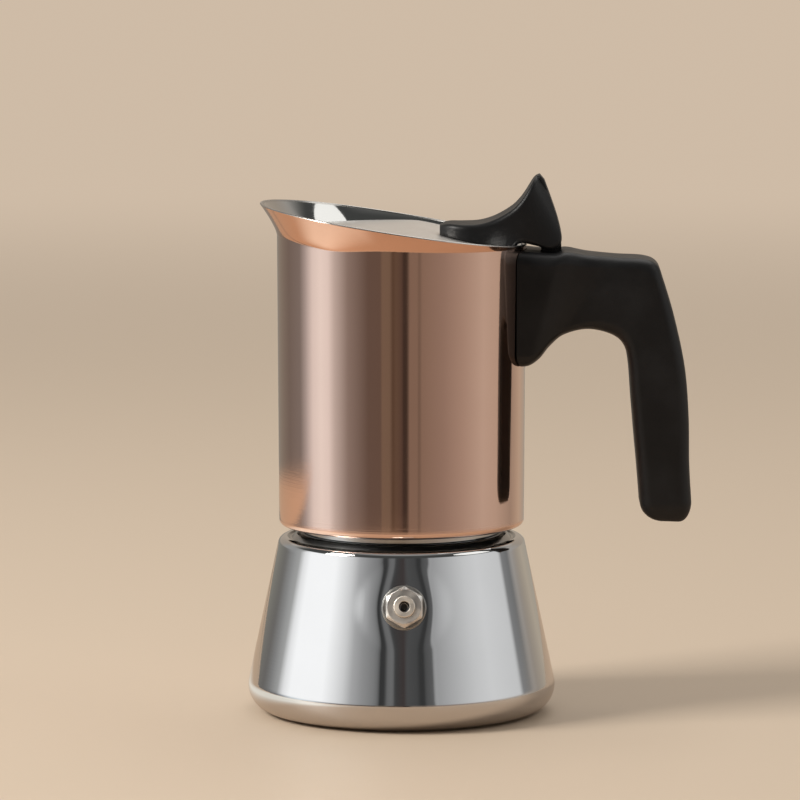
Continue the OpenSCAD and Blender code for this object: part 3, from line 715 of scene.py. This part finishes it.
column_line = rounded([
    (4.4, COLUMN_FOOT, 0.1), (7.3, COLUMN_FOOT, 0.1), (7.3, COLUMN_FOOT + 0.8, 0.3),
    (6.6, COLUMN_FOOT + 0.8, 0.3), (5.2, COLUMN_TOP, 0.2), (4.4, COLUMN_TOP, 0.2)])
surface("riser_column", spun(column_line, 120), [inner_steel], "collector", ["column"])


# Lid ----------------------------------------------------------------------------------------
# Satin-brushed steel disc, level in front and bent down towards the hinge, with an eased edge.

LID_R, LID_BEND, LID_SLOPE, LID_WALL, LID_ROWS = 36.9, 4.5, 0.2, 0.7, 43
lid_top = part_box("lid_plate")[1].z / MM


def brushed(name, color, roughness, strength):
    """Satin metal with straight brush lines along X, from noise stretched that way."""
    made, t = material(name)
    spot = t.add("ShaderNodeTexCoord").outputs["Object"]
    drawn = t.add("ShaderNodeMapping", {"Vector": spot, "Scale": (60.0, 5200.0, 400.0)})
    lines = t.add("ShaderNodeTexNoise", {"Vector": drawn.outputs[0], "Scale": 1.0, "Detail": 3.0})
    t.add("ShaderNodeOutputMaterial", {"Surface": t.add("ShaderNodeBsdfPrincipled", {
        "Base Color": t.mix(lines.outputs["Fac"], tuple(c * 0.88 for c in color), color),
        "Metallic": 1.0,
        "Roughness": t.fade(lines.outputs["Fac"], 0.25, 0.75, roughness * 0.85, roughness * 1.15),
        "Normal": t.add("ShaderNodeBump", {"Strength": strength, "Distance": 0.0001,
                                           "Height": lines.outputs["Fac"]}).outputs[0],
    }).outputs[0]})
    return made


satin_steel = brushed("satin_steel", (0.96, 0.925, 0.885), 0.36, 0.12)


def lid_drop(x, soft=1.2):
    """Fall of the lid at place x: level, then a slope, joined by a soft bend."""
    u = (x - LID_BEND) / soft
    return LID_SLOPE * soft * np.logaddexp(0, u)


edge = rounded([(1.0, 0, 0), (LID_R, 0, 0.33), (LID_R, -LID_WALL, 0.33), (1.0, -LID_WALL, 0)],
               closed=False)
top_r = np.linspace(0.3, 1, LID_ROWS + 1)[:-1] ** 0.8 * (edge[1, 0] - 0.2)
top_rows = np.stack([top_r, np.zeros(LID_ROWS)], 1)
low_rows = top_rows[::-1] - (0, LID_WALL)
lid_line = np.concatenate([[(0.3, 0)], top_rows, edge[1:-1], low_rows, [(0.3, -LID_WALL)]])[::-1]
P = spun(lid_line, 240)
P[..., 2] += lid_top * MM - lid_drop(P[..., 0] / MM) * MM
surface("lid_disc", P, [satin_steel], "lid", ["lid_plate"], wrap=(True, False),
        caps=True)


# Thumb lever --------------------------------------------------------------------------------
# Moulded black horn with the hinge's knuckle at its back, screwed on the lid from inside.

def moulded(name, color, roughness):
    """Heat-proof black plastic: a fine spark-eroded grain, and paler where hands have rubbed."""
    made, t = material(name)
    spot = t.add("ShaderNodeTexCoord").outputs["Object"]
    grain = t.add("ShaderNodeTexNoise", {"Vector": spot, "Scale": 2600.0, "Detail": 2.0})
    wave = t.add("ShaderNodeTexNoise", {"Vector": spot, "Scale": 190.0, "Detail": 3.0})
    height = t.math("ADD", grain.outputs["Fac"], t.math("MULTIPLY", wave.outputs["Fac"], 1.6))
    rubbed = t.add("ShaderNodeTexNoise", {"Vector": spot, "Scale": 55.0, "Detail": 5.0,
                                          "Roughness": 0.6})
    pale = tuple(c * 1.45 for c in color)
    t.add("ShaderNodeOutputMaterial", {"Surface": t.add("ShaderNodeBsdfPrincipled", {
        "Base Color": t.mix(t.fade(rubbed.outputs["Fac"], 0.42, 0.7), color, pale),
        "Roughness": t.fade(rubbed.outputs["Fac"], 0.35, 0.7, roughness * 0.88, roughness * 1.12),
        "Specular IOR Level": 0.32,
        "Normal": t.add("ShaderNodeBump", {"Strength": 0.16, "Distance": 0.0002,
                                           "Height": height}).outputs[0],
    }).outputs[0]})
    return made


black_plastic = moulded("black_plastic", (0.0068, 0.0068, 0.0074), 0.44)


def curve(points, t):
    """Smooth curve (Catmull-Rom) through points, at the places t from 0 to their number less 1."""
    p = np.array(points, float)
    i = np.clip(np.floor(t).astype(int), 0, len(p) - 2)
    u = (t - i)[:, None]
    a, b, c, d = (p[np.clip(i + k, 0, len(p) - 1)] for k in (-1, 0, 1, 2))
    return 0.5 * (2 * b + (c - a) * u + (2 * a - 5 * b + 4 * c - d) * u ** 2
                  + (3 * b - a - 3 * c + d) * u ** 3)


def sections(upper, lower, half, radius, n=14):
    """Rounded rectangles in space between upper and lower points of the XZ plane, half a width
    either side of it: n + 1 points round each corner, on a quarter circle."""
    v = lower - upper
    length = np.linalg.norm(v, axis=1, keepdims=True)
    e = v / length
    c = np.minimum(np.minimum(radius, length[:, 0] / 2 - 0.02), half - 0.02)[:, None]
    q = np.repeat(np.arange(4), n + 1)
    g = (q + np.tile(np.linspace(0, 1, n + 1), 4)) * np.pi / 2
    sx = np.where((q == 0) | (q == 3), 1, -1)
    sy = np.where(q < 2, 1, -1)
    along = length / 2 + sx * (length / 2 - c) + c * np.cos(g)
    side = sy * (half[:, None] - c) + c * np.sin(g)
    return np.stack([upper[:, :1] + e[:, :1] * along, side, upper[:, 1:] + e[:, 1:] * along], 2) * MM


def carved(piece, tools):
    """Cuts tools out of a piece, or joins them to it, by (tool, operation), and applies it."""
    for tool, operation in tools:
        cut = piece.modifiers.new(operation, "BOOLEAN")
        cut.operation = operation
        cut.object = tool
        cut.solver = "EXACT"
    solved = piece.evaluated_get(bpy.context.evaluated_depsgraph_get())
    shape = bpy.data.meshes.new_from_object(solved)
    piece.modifiers.clear()
    piece.data = shape
    shape.polygons.foreach_set("use_smooth", [True] * len(shape.polygons))
    shape.set_sharp_from_angle(angle=np.radians(38))
    for tool, _ in tools:
        bpy.data.objects.remove(tool)


def cutter(name, P):
    """Closed solid from a grid, with its two ends filled, used as a tool by carved()."""
    return surface(name, P, [black_plastic], "boiler", wrap=(True, False),
                   caps=True, normals=False)


def rod(name, r, x, z, y0, y1, n=96):
    """Cylinder along Y."""
    a = np.linspace(0, 2 * np.pi, n, endpoint=False)[:, None]
    y = np.array([[y0, y1]])
    P = np.stack([x + r * np.sin(a) + 0 * y, y + 0 * a, z + r * np.cos(a) + 0 * y], 2)
    return cutter(name, P * MM)


def pillar(name, r, x, z0, z1, n=96):
    """Cylinder along Z."""
    a = np.linspace(0, 2 * np.pi, n, endpoint=False)[:, None]
    z = np.array([[z0, z1]])
    P = np.stack([x + r * np.cos(a) + 0 * z, r * np.sin(a) + 0 * z, z + 0 * a], 2)
    return cutter(name, P * MM)


def block(name, x, y, z):
    """Box between the given pairs of bounds."""
    corner = np.array([(x[0], y[0]), (x[1], y[0]), (x[1], y[1]), (x[0], y[1])], float)
    h = np.array([[z[0], z[1]]])
    P = np.stack([corner[:, :1] + 0 * h, corner[:, 1:] + 0 * h, h + 0 * corner[:, :1]], 2)
    return cutter(name, P * MM)


def slab(name, outline, half):
    """Solid between -half and half along Y, from an outline in the XZ plane that goes from its
    lowest corner on the left up, over and down."""
    p = np.array(outline[::-1], float)
    y = np.array([[-half, half]])
    return cutter(name, np.stack([p[:, :1] + 0 * y, y + 0 * p[:, :1], p[:, 1:] + 0 * y], 2) * MM)


LEVER_HALF, NOSE_X, PIN_X, PIN_Z, PIN_R, TONGUE_HALF = 10.3, 21.0, 46.0, 147.0, 1.5, 4.0
# Matching points of the lever's upper and lower outline in the XZ plane, from nose to horn
LEVER_UPPER = [(11.8, 151), (14.6, 151.7), (19, 151.6), (24.2, 151.9), (29, 153.4), (33.8, 156.2),
               (36.4, 158.7), (38.2, 161.2), (39.5, 163.4), (40.6, 165.2), (41.5, 166.2)]
LEVER_LOWER = [(11.8, 147.6), (14.6, 147), (20, 146), (27, 144.6), (33.4, 143.6), (36.4, 145.95),
               (41.2, 145.2), (46.4, 143.8), (49.1, 146.6), (48.2, 152.4), (45.6, 160.3)]
HORN_TIP = np.array([43.4, 166.2])

t_along = np.concatenate([[0, 0.02, 0.06, 0.12, 0.2], np.linspace(0.3, len(LEVER_UPPER) - 1, 110)])
upper, lower = curve(LEVER_UPPER, t_along), curve(LEVER_LOWER, t_along)
nose = np.maximum(0, (NOSE_X - upper[:, 0]) / (NOSE_X - 11))
horn = np.maximum(0, t_along - 5) / 5.7
half = LEVER_HALF * np.sqrt(1 - nose ** 2) * np.sqrt(1 - horn ** 2)
tip_u = upper[-1] + (HORN_TIP - upper[-1]) * np.array([[0.2], [0.35], [0.5]])
tip_u += [(0, 0.15), (0, 0.25), (0, 0.3)]
tip_l = lower[-1] + (HORN_TIP - lower[-1]) * np.array([[0.35], [0.58], [0.75]])
upper, lower = np.concatenate([upper, tip_u]), np.concatenate([lower, tip_l])
half = np.concatenate([half, half[-1] - np.array([0.08, 0.2, 0.4])])
radius = np.concatenate([np.full(len(t_along), 1.6), [1.4, 1.1, 0.9]])
P = sections(upper, lower, half, radius).transpose(1, 0, 2)
lever = surface("thumb_lever", P, [black_plastic], "lid", ["lid_lever"],
                wrap=(True, False), caps=True, normals=False)
clear_z = lid_top + 0.1
carved(lever, [
    (slab("lid_side", [(0, 130), (0, clear_z), (LID_BEND, clear_z),
                       (35, clear_z - LID_SLOPE * (35 - LID_BEND)), (35, 130)], 20), "DIFFERENCE"),
    (block("knuckle_slot", (PIN_X - 3.6, PIN_X + 8.4), (-TONGUE_HALF - 0.3, TONGUE_HALF + 0.3),
           (140, PIN_Z + 3.6)), "DIFFERENCE"),
    (rod("knuckle_bore", PIN_R + 0.05, PIN_X, PIN_Z, -8.7, 20), "DIFFERENCE"),
])


# Handle -------------------------------------------------------------------------------------
# Moulded black grip on a broad mount that seats against the collector, with the hinge's tongue
# on top. It is one moulding, held by a screw from below.

# Matching points of the handle's outer and inner outline in the XZ plane, from the collector
# over the bend and down the grip; a cap of quarter rounds ends it
HANDLE_OUTER = [(34, 144), (46, 142.9), (50.8, 143.4), (57, 142.4), (66, 141.6), (74.4, 141.1),
                (78.4, 139.3), (80.3, 134.8), (83.8, 123), (87, 108), (88.3, 93), (88.6, 78), (89.3, 66)]
HANDLE_INNER = [(34, 108.6), (38.5, 108.4), (42.2, 110.5), (45.6, 114.4), (49.9, 117.8), (57, 119.5),
                (64, 118.1), (68, 115), (69.7, 109), (70.7, 97), (71.7, 85.5), (72.6, 76), (73.4, 66.5)]
MOUNT_HALF, GRIP_HALF, HANDLE_ROUND = 15.0, 11.0, 4.0
CAP_DROP, CAP_OUTER, CAP_INNER = 6.2, 3.6, 7.0

t_along = np.linspace(0, len(HANDLE_OUTER) - 1, 170)
upper, lower = curve(HANDLE_OUTER, t_along), curve(HANDLE_INNER, t_along)
u = np.clip((t_along - 1) / 3, 0, 1)
half = MOUNT_HALF + (GRIP_HALF - MOUNT_HALF) * u * u * (3 - 2 * u)
radius = np.full(len(t_along), HANDLE_ROUND)
end = np.linalg.norm(lower[-1] - upper[-1])
over = (lower[-1] - upper[-1]) / end
down = np.array([over[1], -over[0]])
g = np.radians(np.linspace(0, 90, 16))[1:, None]
inset = 1 - np.cos(g)
cap_u = upper[-1] + over * CAP_OUTER * inset - down * CAP_DROP * np.sin(g)
cap_l = lower[-1] - over * CAP_INNER * inset - down * CAP_DROP * np.sin(g)
upper, lower = np.concatenate([upper, cap_u]), np.concatenate([lower, cap_l])
half = np.concatenate([half, GRIP_HALF - HANDLE_ROUND * inset[:, 0]])
radius = np.concatenate([radius, HANDLE_ROUND - (HANDLE_ROUND - 0.5) * inset[:, 0]])
P = sections(upper, lower, half, radius).transpose(1, 0, 2)
grip = surface("handle_moulding", P, [black_plastic], "collector", ["handle"],
               wrap=(True, False), caps=True, normals=False)
tongue_side = [(42.8, 140), (43, PIN_Z), (43.9, PIN_Z + 2.14), (46, PIN_Z + 3), (48.1, PIN_Z + 2.14),
               (49, PIN_Z), (49.2, 142), (49.2, 140)]
carved(grip, [
    (slab("tongue", tongue_side, TONGUE_HALF), "UNION"),
    (pillar("seat", BODY_R + 0.15, 0, 100, 150, n=256), "DIFFERENCE"),
    (rod("pin_hole", PIN_R + 0.01, PIN_X, PIN_Z, -20, 20), "DIFFERENCE"),
    (pillar("screw_sink", 3.0, 42.6, 100, 117.4), "DIFFERENCE"),
])


# Finishes of the pieces that keep their own shape --------------------------------------------
# Pieces inside the pot and its fasteners: satin steel for the funnel, the filter plate and the
# cap, plain steel for screws, pin, bracket and spring, and moulded silicone for the gasket.
# The valve's nut takes the valve's nickel; the poppet down the bore is painted near black as shade.

hardware = metal("hardware_steel", (0.60, 0.605, 0.61), 0.24, lines=(2800.0, 0.05), patch=(160.0, 0.5))
silicone, t = material("silicone")
spot = t.add("ShaderNodeTexCoord").outputs["Object"]
cloud = t.add("ShaderNodeTexNoise", {"Vector": spot, "Scale": 240.0, "Detail": 4.0})
t.add("ShaderNodeOutputMaterial", {"Surface": t.add("ShaderNodeBsdfPrincipled", {
    "Base Color": t.mix(cloud.outputs["Fac"], (0.72, 0.71, 0.66), (0.82, 0.81, 0.77)),
    "Roughness": 0.55,
    "Normal": t.add("ShaderNodeBump", {"Strength": 0.1, "Distance": 0.0002,
                                       "Height": cloud.outputs["Fac"]}).outputs[0],
}).outputs[0]})

FINISHES = {
    "funnel_basket": inner_steel, "funnel_sieve": inner_steel, "funnel_tube": inner_steel,
    "filter_plate": inner_steel, "column_cap": inner_steel, "gasket": silicone,
    "handle_bracket": hardware, "handle_screw": hardware, "hinge_pin": hardware,
    "lid_screws": hardware, "valve_spring": hardware, "valve_nut": valve_nickel,
    "valve_poppet": poppet_painted_shade,
}
for name, finish in FINISHES.items():
    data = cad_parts[name].data
    data.materials.clear()
    data.materials.append(finish)
